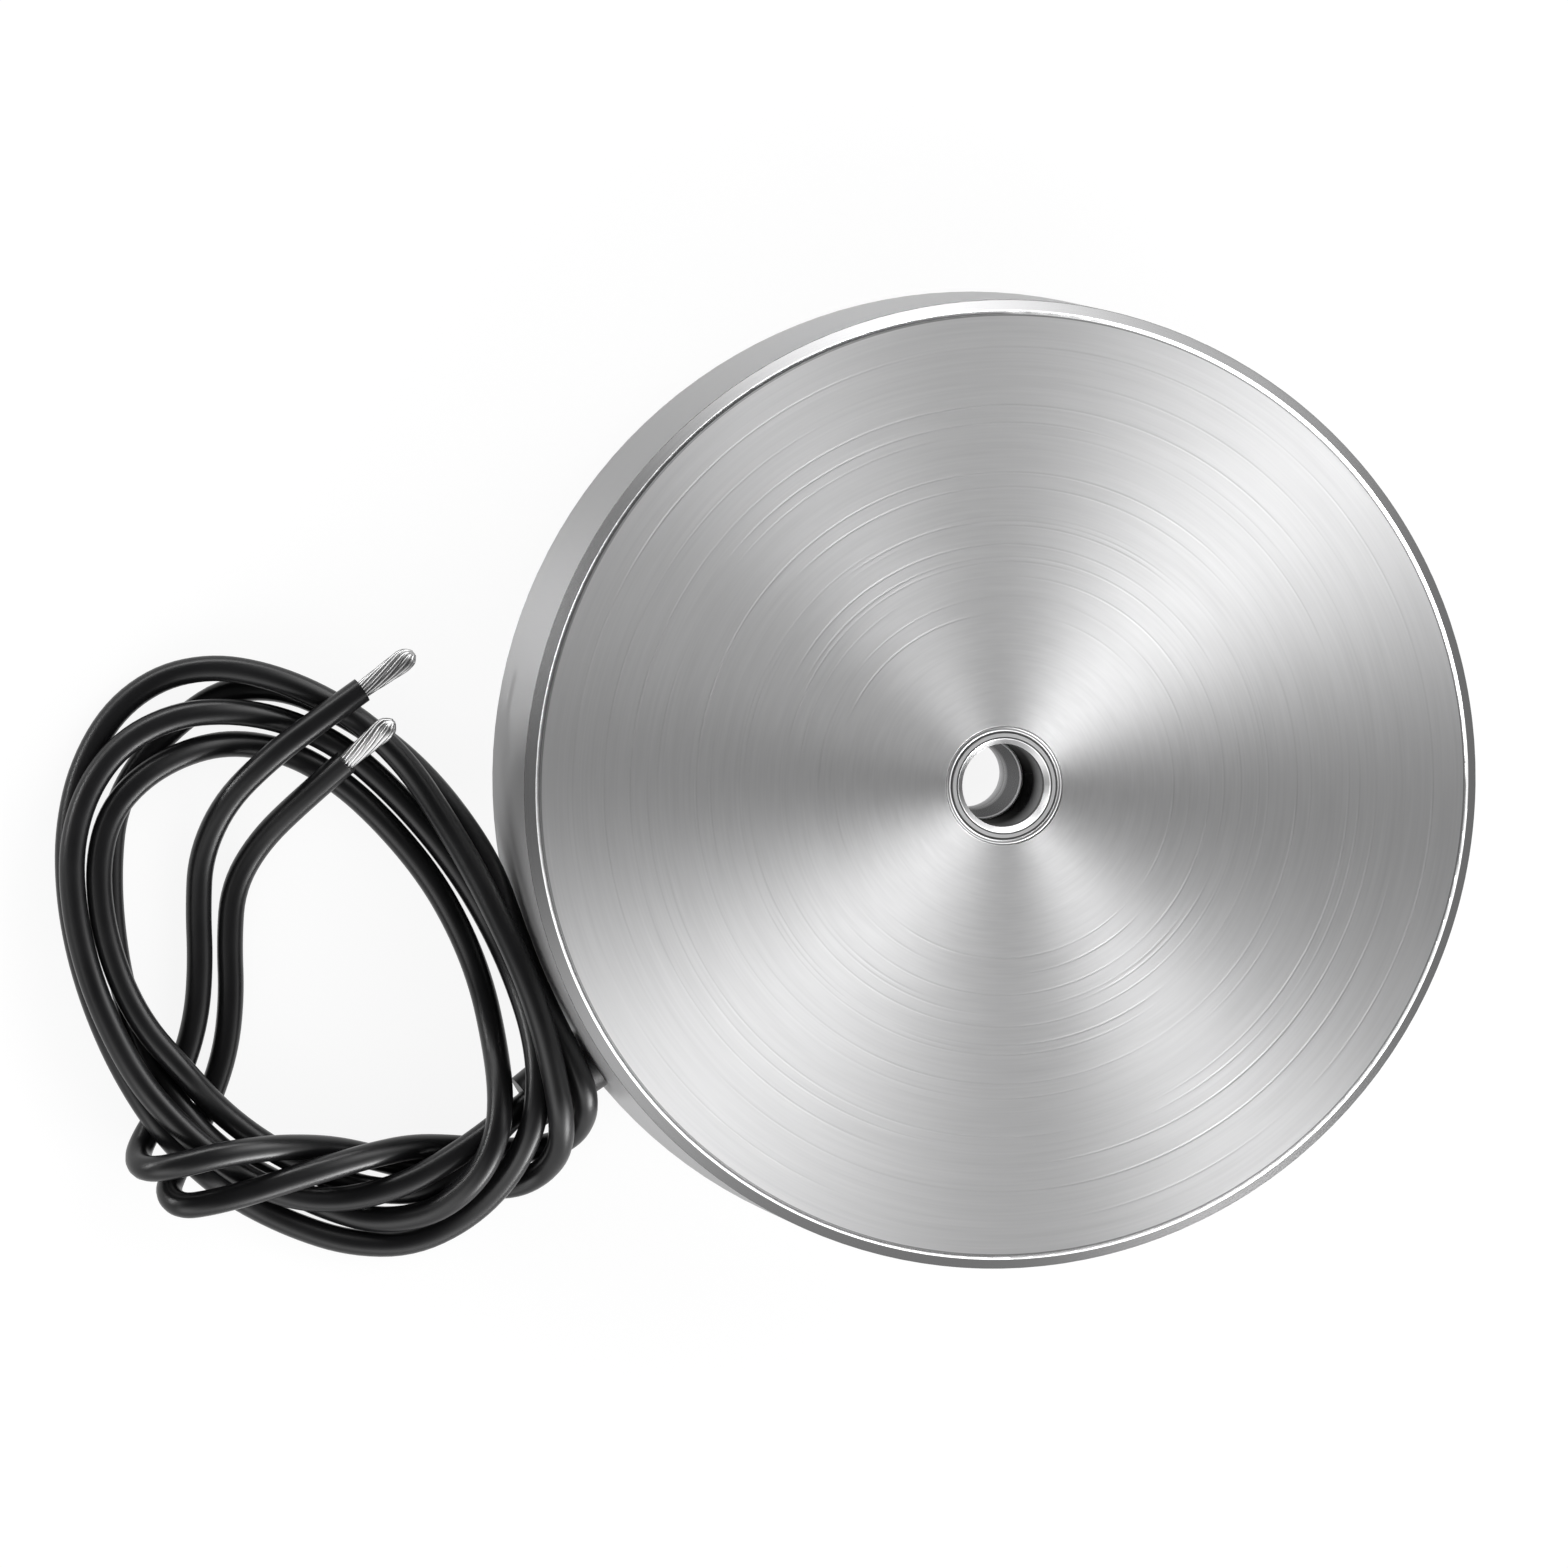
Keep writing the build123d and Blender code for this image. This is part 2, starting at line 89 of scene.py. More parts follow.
class Nodes:
    """Short calls for building one node tree."""

    def __init__(self, tree: bpy.types.NodeTree) -> None:
        """Keeps the tree.

        Args:
            tree: the node tree that the calls add to.
        """
        self.tree = tree

    def add(self, kind: str, **values: object) -> bpy.types.Node:
        """Adds a node and sets its attributes.

        Args:
            kind: the node's type name.
            values: attributes of the node, by name.

        Returns:
            The new node.
        """
        node = self.tree.nodes.new(kind)
        for name, value in values.items():
            setattr(node, name, value)
        return node

    def put(self, socket: bpy.types.NodeSocket, value: object) -> None:
        """Links a socket to another, or sets its value.

        Args:
            socket: the input socket.
            value: an output socket, or the plain value to set.
        """
        if isinstance(value, bpy.types.NodeSocket):
            self.tree.links.new(value, socket)
        else:
            socket.default_value = value

    def math(self, operation: str, *values: object, clamp: bool = False) -> bpy.types.NodeSocket:
        """Adds a math node.

        Args:
            operation: the operation's name.
            values: sockets or numbers for its inputs.
            clamp: whether the result is kept within 0 and 1.

        Returns:
            The result socket.
        """
        node = self.add("ShaderNodeMath", operation=operation, use_clamp=clamp)
        for socket, value in zip(node.inputs, values):
            self.put(socket, value)
        return node.outputs[0]

    def vector_math(self, operation: str, *values: object) -> bpy.types.Node:
        """Adds a vector math node.

        Args:
            operation: the operation's name.
            values: sockets or vectors for its inputs.

        Returns:
            The node.
        """
        node = self.add("ShaderNodeVectorMath", operation=operation)
        for socket, value in zip(node.inputs, values):
            self.put(socket, value)
        return node

    def noise(self, where: bpy.types.NodeSocket, scale: float, detail: float = 2.0,
              line: bool = False) -> bpy.types.NodeSocket:
        """Adds a noise texture.

        Args:
            where: the coordinate, a vector, or a number when line is set.
            scale: the noise's scale.
            detail: octaves of finer noise.
            line: whether the noise runs along a single coordinate.

        Returns:
            The noise value, from 0 to 1.
        """
        node = self.add("ShaderNodeTexNoise", noise_dimensions="1D" if line else "3D")
        self.put(node.inputs["W" if line else "Vector"], where)
        node.inputs["Scale"].default_value = scale
        node.inputs["Detail"].default_value = detail
        return node.outputs[0]

    def remap(self, value: bpy.types.NodeSocket, low: float, high: float,
              to_low: float, to_high: float) -> bpy.types.NodeSocket:
        """Maps a value from one range to another, and keeps it within the second.

        Args:
            value: the value.
            low: start of the range that it comes in.
            high: end of that range.
            to_low: what the start becomes.
            to_high: what the end becomes.

        Returns:
            The mapped value.
        """
        node = self.add("ShaderNodeMapRange")
        for socket, number in zip(node.inputs, (value, low, high, to_low, to_high)):
            self.put(socket, number)
        return node.outputs[0]

    def blend(self, share: object, start: object, end: object) -> bpy.types.NodeSocket:
        """Blends two values.

        Args:
            share: 0 gives the start, 1 the end.
            start: one value.
            end: the other.

        Returns:
            The blended value.
        """
        node = self.add("ShaderNodeMix", data_type="FLOAT")
        for index, value in zip((0, 2, 3), (share, start, end)):
            self.put(node.inputs[index], value)
        return node.outputs[0]

    def tint(self, colour: Colour, shade: object) -> bpy.types.NodeSocket:
        """Multiplies a colour by a shade.

        Args:
            colour: the colour.
            shade: the shade, where 1 leaves the colour as it is.

        Returns:
            The shaded colour.
        """
        node = self.add("ShaderNodeMix", data_type="RGBA", blend_type="MULTIPLY")
        self.put(node.inputs["Factor"], 1.0)
        self.put(node.inputs[6], (*colour, 1.0))
        self.put(node.inputs[7], shade)
        return node.outputs[2]

    def group(self, tree: bpy.types.NodeTree, **values: object) -> bpy.types.Node:
        """Places a node group.

        Args:
            tree: the group's tree.
            values: its inputs, by name.

        Returns:
            The group node.
        """
        node = self.add("ShaderNodeGroup")
        node.node_tree = tree
        for name, value in values.items():
            self.put(node.inputs[name], value)
        return node


def new_group(name: str, inputs: dict[str, float | None], outputs: dict[str, Socket]) -> (
        tuple[Nodes, bpy.types.Node, bpy.types.Node]):
    """Starts a shader node group with named sockets.

    Args:
        name: the group's name.
        inputs: each input's name and default; None makes a vector input.
        outputs: each output's name and kind.

    Returns:
        The calls for its tree, its input node and its output node.
    """
    tree = bpy.data.node_groups.new(name, "ShaderNodeTree")
    for label, value in inputs.items():
        kind = Socket.VECTOR if value is None else Socket.NUMBER
        socket = tree.interface.new_socket(label, in_out="INPUT", socket_type=kind.value)
        if value is not None:
            socket.default_value = value
    for label, kind in outputs.items():
        tree.interface.new_socket(label, in_out="OUTPUT", socket_type=kind.value)
    nodes = Nodes(tree)
    return nodes, nodes.add("NodeGroupInput"), nodes.add("NodeGroupOutput")


def turned_place_group() -> bpy.types.NodeTree:
    """Builds the group that tells where a point lies on a piece turned round the Z axis.

    Returns:
        The group: Where is the object coordinate; it puts out Radius, Height and Round, the
        direction from the axis.
    """
    nodes, given, out = new_group(
        "turned_place", {"Where": None},
        {"Radius": Socket.NUMBER, "Height": Socket.NUMBER, "Round": Socket.VECTOR})
    parts = nodes.add("ShaderNodeSeparateXYZ")
    nodes.put(parts.inputs[0], given.outputs["Where"])
    flat = nodes.add("ShaderNodeCombineXYZ")
    nodes.put(flat.inputs[0], parts.outputs[0])
    nodes.put(flat.inputs[1], parts.outputs[1])
    nodes.put(out.inputs["Radius"], nodes.vector_math("LENGTH", flat.outputs[0]).outputs["Value"])
    nodes.put(out.inputs["Height"], parts.outputs[2])
    nodes.put(out.inputs["Round"], nodes.vector_math("NORMALIZE", flat.outputs[0]).outputs["Vector"])
    return nodes.tree


def tool_marks_group() -> bpy.types.NodeTree:
    """Builds the group that gives the marks a lathe tool leaves along a turned outline.

    Returns:
        The group: Place is where on the outline, in metres, and Round the direction from the
        axis; it puts out Fine, short hairlines, and Broad, slow bands, each about 0.
    """
    nodes, given, out = new_group(
        "tool_marks", {"Place": 0.0, "Round": None}, {"Fine": Socket.NUMBER, "Broad": Socket.NUMBER})
    fine = []
    for reach, pitch in FINE_MARKS:
        spot = nodes.vector_math("SCALE", given.outputs["Round"])
        spot.inputs["Scale"].default_value = reach
        drop = nodes.add("ShaderNodeCombineXYZ")
        nodes.put(drop.inputs[2], nodes.math("MULTIPLY", given.outputs["Place"], pitch))
        where = nodes.vector_math("ADD", spot.outputs["Vector"], drop.outputs[0]).outputs["Vector"]
        fine.append(nodes.math("SUBTRACT", nodes.noise(where, 1.0, 1.0), 0.5))
    nodes.put(out.inputs["Fine"], nodes.math("ADD", *fine))
    broad = nodes.noise(given.outputs["Place"], BROAD_MARKS, 3.0, line=True)
    nodes.put(out.inputs["Broad"], nodes.math("SUBTRACT", broad, 0.5))
    return nodes.tree


def ring_group() -> bpy.types.NodeTree:
    """Builds the group that marks one thin ring at a radius.

    Returns:
        The group: Radius, At and Width are in metres; Mask is 1 on the ring and 0 beyond Width.
    """
    nodes, given, out = new_group(
        "ring_mark", {"Radius": 0.0, "At": 0.0, "Width": 0.2 * MM}, {"Mask": Socket.NUMBER})
    gap = nodes.math("ABSOLUTE", nodes.math("SUBTRACT", given.outputs["Radius"], given.outputs["At"]))
    share = nodes.math("DIVIDE", gap, given.outputs["Width"])
    nodes.put(out.inputs["Mask"], nodes.math("SUBTRACT", 1.0, share, clamp=True))
    return nodes.tree


def speckle_group() -> bpy.types.NodeTree:
    """Builds the group of fine and cloudy variation that moulded and drawn surfaces show.

    Returns:
        The group: Where is a coordinate; it puts out Fine and Cloud, each from 0 to 1.
    """
    nodes, given, out = new_group(
        "speckle", {"Where": None}, {"Fine": Socket.NUMBER, "Cloud": Socket.NUMBER})
    nodes.put(out.inputs["Fine"], nodes.noise(given.outputs["Where"], GRAIN_SCALE, 3.0))
    nodes.put(out.inputs["Cloud"], nodes.noise(given.outputs["Where"], CLOUD_SCALE, 2.0))
    return nodes.tree


@dataclass(frozen=True)
class Groups:
    """The node groups that the materials share."""

    turned_place: bpy.types.NodeTree
    tool_marks: bpy.types.NodeTree
    ring: bpy.types.NodeTree
    speckle: bpy.types.NodeTree


def start_material(name: str) -> tuple[bpy.types.Material, Nodes, bpy.types.Node]:
    """Starts a material with one Principled shader.

    Args:
        name: the material's name.

    Returns:
        The material, the calls for its tree and the shader node.
    """
    material = bpy.data.materials.new(name)
    material.use_nodes = True
    nodes = Nodes(material.node_tree)
    return material, nodes, material.node_tree.nodes["Principled BSDF"]


@dataclass(frozen=True)
class PaintedLightZone:
    """One ring of a turned piece whose metal is painted brighter, as a painted highlight, or darker, as
    painted shade, with its own roughness. Sizes are in millimetres.

    Args:
        inner: its inner radius.
        outer: its outer radius.
        low: its lowest height.
        high: its highest height.
        shade: how bright its metal is painted, where 1 is as bright as the rest; below 1 is painted shade,
            above 1 a painted highlight.
        roughness: how rough it is.
        edge: how softly it ends towards the axis and away from it.
        fade: how softly it ends upwards and downwards.
    """

    inner: float
    outer: float
    low: float
    high: float
    shade: float
    roughness: float
    edge: float = 0.03
    fade: float = 0.03

    def mask(self, nodes: Nodes, radius: bpy.types.NodeSocket, height: bpy.types.NodeSocket) -> (
            bpy.types.NodeSocket):
        """Marks the zone.

        Args:
            nodes: the calls for the tree.
            radius: distance from the axis, in metres.
            height: height, in metres.

        Returns:
            1 in the zone and 0 outside it.
        """
        inside = []
        for value, start, end, soft in ((radius, self.inner, self.outer, self.edge * MM),
                                        (height, self.low, self.high, self.fade * MM)):
            inside.append(nodes.remap(value, start * MM - soft, start * MM, 0.0, 1.0))
            inside.append(nodes.remap(value, end * MM, end * MM + soft, 1.0, 0.0))
        first = nodes.math("MULTIPLY", inside[0], inside[1])
        return nodes.math("MULTIPLY", first, nodes.math("MULTIPLY", inside[2], inside[3]))


@dataclass(frozen=True)
class TurnedSteel:
    """Bright steel with the marks of turning round the Z axis.

    Args:
        name: the material's name.
        colour: the metal's colour.
        roughness: how wide the sheen is across the marks.
        along: how much wider the sheen is across the marks than along them, from 0 to 1.
        hairlines: depth of the fine marks, in millimetres.
        bands: how deep the slow bands are beside them.
        shading: how much the marks change the colour.
        band_shading: how much the slow bands count in that.
        lean: how far the surface between the marks leans outwards, in radians.
        lean_to: the radius out to which it does, in millimetres.
        bevel: how far the chamfer leans inwards, in radians.
        bevel_from: the radius that it starts at, in millimetres.
        edge_tint: how bright the metal stays where it is seen along its surface.
        rings: radii of the heavier rings, in millimetres.
        ring_width: how far each reaches from its radius, in millimetres.
        ring_depth: how deep they are, in millimetres.
        ring_shade: how much darker they are.
        zones: the rings of the piece painted brighter or darker, as painted highlights and painted shade,
            each with its own roughness.
    """

    name: str
    colour: Colour
    roughness: float
    along: float = 1.0
    hairlines: float = 0.0008
    bands: float = 2.0
    shading: float = 0.08
    band_shading: float = 0.6
    lean: float = 0.0
    lean_to: float = 48.4
    bevel: float = 0.0
    bevel_from: float = 48.98
    edge_tint: float = 0.5
    rings: tuple[float, ...] = ()
    ring_width: float = 0.16
    ring_depth: float = 0.024
    ring_shade: float = 0.085
    zones: tuple[PaintedLightZone, ...] = ()

    def build(self, groups: Groups) -> bpy.types.Material:
        """Makes the material.

        Args:
            groups: the shared node groups.

        Returns:
            The material.
        """
        material, nodes, shader = start_material(self.name)
        where = nodes.add("ShaderNodeTexCoord").outputs["Object"]
        spot = nodes.group(groups.turned_place, Where=where)
        radius, height = spot.outputs["Radius"], spot.outputs["Height"]
        place = nodes.math("SUBTRACT", radius, height)
        marks = nodes.group(groups.tool_marks, Place=place, Round=spot.outputs["Round"])
        fine, broad = marks.outputs["Fine"], marks.outputs["Broad"]
        both = nodes.math("ADD", fine, nodes.math("MULTIPLY", broad, self.band_shading))
        shade = nodes.math("MULTIPLY_ADD", both, self.shading, 1.0)
        rough = nodes.math("MULTIPLY_ADD", both, -self.shading * self.roughness, self.roughness)
        relief = nodes.math("MULTIPLY", fine, self.hairlines * MM)
        relief = nodes.math("MULTIPLY_ADD", broad, self.hairlines * MM * self.bands, relief)
        within = nodes.math("MINIMUM", radius, self.lean_to * MM)
        relief = nodes.math("MULTIPLY_ADD", within, -self.lean, relief)
        beyond = nodes.math("MAXIMUM", nodes.math("SUBTRACT", radius, self.bevel_from * MM), 0.0)
        relief = nodes.math("MULTIPLY_ADD", beyond, self.bevel, relief)
        for index, ring in enumerate(self.rings):
            mask = nodes.group(groups.ring, Radius=radius, At=ring * MM, Width=self.ring_width * MM)
            offset = nodes.vector_math("ADD", spot.outputs["Round"], (index * RING_SHIFT, 0.0, 0.0))
            patches = nodes.noise(offset.outputs["Vector"], RING_PATCHES, 1.0)
            share = nodes.remap(patches, *RING_FADE, RING_FAINTEST, 1.0)
            depth = nodes.math("MULTIPLY", mask.outputs[0], share)
            relief = nodes.math("MULTIPLY_ADD", depth, -self.ring_depth * MM, relief)
            shade = nodes.math("MULTIPLY_ADD", depth, -self.ring_shade, shade)
        # Painted highlights and painted shade: each zone paints the metal brighter or darker and sets its
        # own roughness.
        for zone in self.zones:
            mask = zone.mask(nodes, radius, height)
            shade = nodes.blend(mask, shade, zone.shade)
            rough = nodes.blend(mask, rough, zone.roughness)
        nodes.put(shader.inputs["Base Color"], nodes.tint(self.colour, shade))
        nodes.put(shader.inputs["Roughness"], rough)
        shader.inputs["Metallic"].default_value = 1.0
        shader.inputs["Specular Tint"].default_value = grey(self.edge_tint)
        shader.inputs["Anisotropic"].default_value = self.along
        shader.inputs["Anisotropic Rotation"].default_value = 0.25
        tangent = nodes.add("ShaderNodeTangent", direction_type="RADIAL", axis="Z")
        nodes.put(shader.inputs["Tangent"], tangent.outputs[0])
        bump = nodes.add("ShaderNodeBump")
        nodes.put(bump.inputs["Height"], relief)
        bump.inputs["Distance"].default_value = 1.0
        nodes.put(shader.inputs["Normal"], bump.outputs[0])
        return material


@dataclass(frozen=True)
class SoftBlack:
    """Black insulation or rubber with a soft sheen.

    Args:
        name: the material's name.
        colour: its colour.
        roughness: its mean roughness.
        grain: depth of its fine unevenness, in millimetres.
        gloss: how strongly it reflects, where 0.5 is plain plastic.
        shades: its darkest and lightest shade.
        spread: how much its roughness varies.
    """

    name: str
    colour: Colour
    roughness: float
    grain: float = 0.004
    gloss: float = 0.3
    shades: tuple[float, float] = (0.75, 1.3)
    spread: float = 0.15

    def build(self, groups: Groups) -> bpy.types.Material:
        """Makes the material.

        Args:
            groups: the shared node groups.

        Returns:
            The material.
        """
        material, nodes, shader = start_material(self.name)
        where = nodes.add("ShaderNodeTexCoord").outputs["Object"]
        speckle = nodes.group(groups.speckle, Where=where)
        shade = nodes.remap(speckle.outputs["Cloud"], *NOISE_RANGE, *self.shades)
        nodes.put(shader.inputs["Base Color"], nodes.tint(self.colour, shade))
        rough = nodes.remap(speckle.outputs["Cloud"], *NOISE_RANGE,
                            self.roughness * (1.0 - self.spread), self.roughness * (1.0 + self.spread))
        nodes.put(shader.inputs["Roughness"], rough)
        bump = nodes.add("ShaderNodeBump")
        nodes.put(bump.inputs["Height"], speckle.outputs["Fine"])
        bump.inputs["Distance"].default_value = self.grain * MM
        shader.inputs["Specular IOR Level"].default_value = self.gloss
        nodes.put(shader.inputs["Normal"], bump.outputs[0])
        return material


@dataclass(frozen=True)
class PlainFinish:
    """A moulded, cast, wrapped or drawn surface with a little variation.

    Args:
        name: the material's name.
        colour: its colour.
        roughness: its mean roughness.
        metallic: 1 for a metal, 0 for anything else.
        edge_tint: how bright a metal stays where it is seen along its surface.
        shades: its darkest and lightest shade.
        spread: how much its roughness varies.
    """

    name: str
    colour: Colour
    roughness: float
    metallic: float = 0.0
    edge_tint: float = 1.0
    shades: tuple[float, float] = (0.88, 1.08)
    spread: float = 0.1

    def build(self, groups: Groups) -> bpy.types.Material:
        """Makes the material.

        Args:
            groups: the shared node groups.

        Returns:
            The material.
        """
        material, nodes, shader = start_material(self.name)
        where = nodes.add("ShaderNodeTexCoord").outputs["Object"]
        speckle = nodes.group(groups.speckle, Where=where)
        shade = nodes.remap(speckle.outputs["Cloud"], *NOISE_RANGE, *self.shades)
        nodes.put(shader.inputs["Base Color"], nodes.tint(self.colour, shade))
        rough = nodes.remap(speckle.outputs["Fine"], *NOISE_RANGE,
                            self.roughness * (1.0 - self.spread), self.roughness * (1.0 + self.spread))
        nodes.put(shader.inputs["Roughness"], rough)
        shader.inputs["Metallic"].default_value = self.metallic
        shader.inputs["Specular Tint"].default_value = grey(self.edge_tint)
        return material


def dress(node: str, material: bpy.types.Material) -> None:
    """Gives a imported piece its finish.

    Args:
        node: the piece's name.
        material: its finish.
    """
    piece = bpy.data.objects[node]
    piece.data.materials.clear()
    piece.data.materials.append(material)
    LOG.info("%s: %s", node, material.name)


@dataclass
class SteelBody:
    """The turned cup, the centre pole and the bush in the bore."""

    pot: TurnedSteel = TurnedSteel(
        "turned_steel", (0.74, 0.74, 0.745), 0.47, shading=0.09, lean=0.05, bevel=0.045,
        rings=(45.2, 41.9, 39.2, 37.4, 36.3, 32.3, 30.8, 27.8, 27.3, 26.8, 24.9, 23.6, 23.1, 21.6, 19.5,
               17.8),
        zones=(
            # Painted shade: the side wall's metal is painted darker.
            PaintedLightZone(49.85, 51.0, -1.0, 18.78, 0.62, 0.3),
            # Painted shade: the chamfer is painted dark.
            PaintedLightZone(48.98, 51.0, 18.8, 21.0, 0.2, 0.12),
            # Painted highlight: the round between the face and the chamfer is painted brighter.
            PaintedLightZone(48.57, 48.95, 19.0, 21.0, 1.28, 0.16),
            # Painted shade: a thin dark line is painted at the edge of the face.
            PaintedLightZone(48.4, 48.53, 19.9, 21.0, 0.5, 0.4),
        ))
    bush: TurnedSteel = TurnedSteel(
        "bush_steel", (0.86, 0.86, 0.865), 0.3, along=0.3, hairlines=0.0, shading=0.02, edge_tint=0.16,
        zones=(
            # Painted shade: the bore wall is painted nearly black deep down, lighter towards the mouth.
            PaintedLightZone(4.0, 4.36, 8.0, 13.5, 0.08, 0.3, fade=5.0),
            # Painted shade: the mouth's inner lip is painted darker.
            PaintedLightZone(4.3, 4.8, 18.4, 21.0, 0.5, 0.3),
            PaintedLightZone(4.8, 5.6, 19.3, 21.0, 1.0, 0.42),
            # Painted shade: the mouth's outer ring is painted darker.
            PaintedLightZone(5.6, 6.2, 19.3, 21.0, 0.72, 0.34),
            # Painted shade: thin dark lines are painted in the grooves between the mouth's rings.
            PaintedLightZone(4.88, 5.02, 19.8, 21.0, 0.3, 0.4),
            PaintedLightZone(5.42, 5.6, 19.7, 21.0, 0.4, 0.3),
        ))
    # Painted shade: the pole's steel is made dark so that its bore looks shaded; its zones paint two
    # highlights back in.
    core: TurnedSteel = TurnedSteel(
        "core_steel", (0.26, 0.26, 0.262), 0.24, along=0.3, hairlines=0.0, shading=0.04, edge_tint=0.25,
        zones=(
            # Painted highlight: the bore wall by the hole's lower end is painted brighter, most at the
            # bottom.
            PaintedLightZone(3.0, 3.6, -1.0, 1.0, 3.7, 0.3, fade=3.5),
            # Painted highlight: a thin bright ring is painted on the step in the bore.
            PaintedLightZone(3.8, 6.2, 7.95, 8.6, 3.7, 0.5),
        ))

    def build(self, groups: Groups) -> None:
        """Dresses the steel pieces.

        Args:
            groups: the shared node groups.
        """
        dress("pot", self.pot.build(groups))
        dress("bore_bush", self.bush.build(groups))
        dress("core", self.core.build(groups))


@dataclass
class Coil:
    """The sealed coil inside the cup, with its joints to the leads."""

    finishes: dict[PlainFinish, tuple[str, ...]] = field(default_factory=lambda: {
        PlainFinish("bobbin_plastic", (0.85, 0.83, 0.78), 0.55): ("bobbin",),
        PlainFinish("enamelled_copper", (0.72, 0.33, 0.16), 0.3, 1.0): (
            "winding", "start_wire", "finish_wire"),
        PlainFinish("tape", (0.75, 0.62, 0.25), 0.4): ("coil_tape",),
        PlainFinish("insulation", (0.8, 0.78, 0.7), 0.6): ("base_washer",),
        PlainFinish("resin", (0.03, 0.03, 0.03), 0.3): ("potting_resin",),
        PlainFinish("crimp_metal", (0.75, 0.75, 0.74), 0.35, 1.0): ("start_splice", "finish_splice"),
        PlainFinish("shrink_tube", (0.02, 0.02, 0.02), 0.5): (
            "start_splice_cover", "finish_splice_cover"),
    })

    def build(self, groups: Groups) -> None:
        """Dresses the pieces of the coil.

        Args:
            groups: the shared node groups.
        """
        for finish, nodes in self.finishes.items():
            material = finish.build(groups)
            for node in nodes:
                dress(node, material)


# Routes of the leads beyond the strain relief, as in the part's source, in millimetres
LEAD_A_ROUTE: tuple[Point, ...] = (
    # out along the bottom of the coil
    (-53.8, -38.7, 7.1), (-59.0, -42.0, 5.7), (-64.5, -43.8, 4.3), (-70.0, -43.9, 4.1),
    (-75.0, -42.2, 4.5), (-79.5, -39.2, 6.5), (-83.5, -36.0, 6.9),
    # first turn: left side, top, right side down over the strain relief
    (-87.5, -31.5, 6.4), (-90.5, -26.0, 5.4), (-92.7, -20.3, 4.4), (-94.2, -14.0, 4.1),
    (-94.6, -7.5, 4.1), (-93.0, -1.5, 4.1), (-89.5, 3.3, 4.1),
    (-84.0, 6.2, 4.2), (-78.0, 6.7, 3.9), (-71.8, 5.5, 2.0), (-66.0, 2.8, 1.35),
    (-61.0, -1.4, 1.35), (-56.5, -6.2, 1.35), (-52.7, -11.2, 1.35),
    (-49.6, -16.5, 1.5), (-47.6, -21.5, 3.4), (-46.4, -26.5, 6.6), (-46.2, -31.5, 9.2),
    (-46.8, -36.5, 8.7), (-48.8, -41.5, 5.8), (-52.5, -45.9, 3.0),
    (-58.0, -48.8, 1.4), (-64.5, -48.7, 1.35), (-70.5, -46.8, 1.35), (-76.2, -44.0, 1.7),
    # second turn
    (-80.9, -40.6, 4.2), (-85.2, -36.2, 4.5), (-88.7, -30.6, 3.2), (-91.4, -24.5, 2.0),
    (-93.3, -18.3, 1.35), (-94.4, -12.0, 1.35), (-94.5, -5.8, 1.35), (-93.2, 0.5, 1.35),
    (-90.0, 6.3, 1.35),
    (-85.3, 9.9, 1.6), (-80.0, 11.2, 3.2), (-74.5, 10.4, 4.1), (-68.8, 8.2, 4.1),
    (-63.5, 4.9, 4.1), (-59.4, 0.8, 4.5), (-56.3, -4.0, 5.8),
    (-53.4, -9.2, 8.4), (-50.9, -14.6, 11.2), (-48.5, -20.0, 12.5), (-46.6, -25.2, 12.5),
    (-45.2, -30.2, 11.7), (-44.2, -34.6, 10.9), (-43.6, -38.3, 7.6),
    # back under the coil
    (-44.6, -41.1, 3.6), (-47.5, -42.9, 1.5), (-52.0, -42.6, 1.35), (-56.5, -41.3, 1.35),
    (-61.5, -39.9, 1.35), (-66.5, -38.7, 2.9), (-71.5, -38.2, 6.2), (-76.0, -38.3, 8.6),
    # round the coil once, at its lower left
    (-80.3, -38.9, 9.7), (-84.0, -39.9, 9.2), (-86.7, -40.5, 7.1), (-87.4, -39.9, 4.2),
    (-86.5, -38.1, 1.8), (-84.4, -34.8, 1.35),
    # free end, up inside the coil and out over its top
    (-82.2, -30.2, 1.35), (-80.8, -25.0, 1.35), (-80.5, -19.5, 1.35), (-80.8, -13.8, 1.35),
    (-80.7, -8.4, 2.0), (-78.6, -2.8, 4.0), (-74.4, 1.9, 6.2), (-69.7, 5.6, 7.0),
    (-64.9, 9.0, 7.0),
)
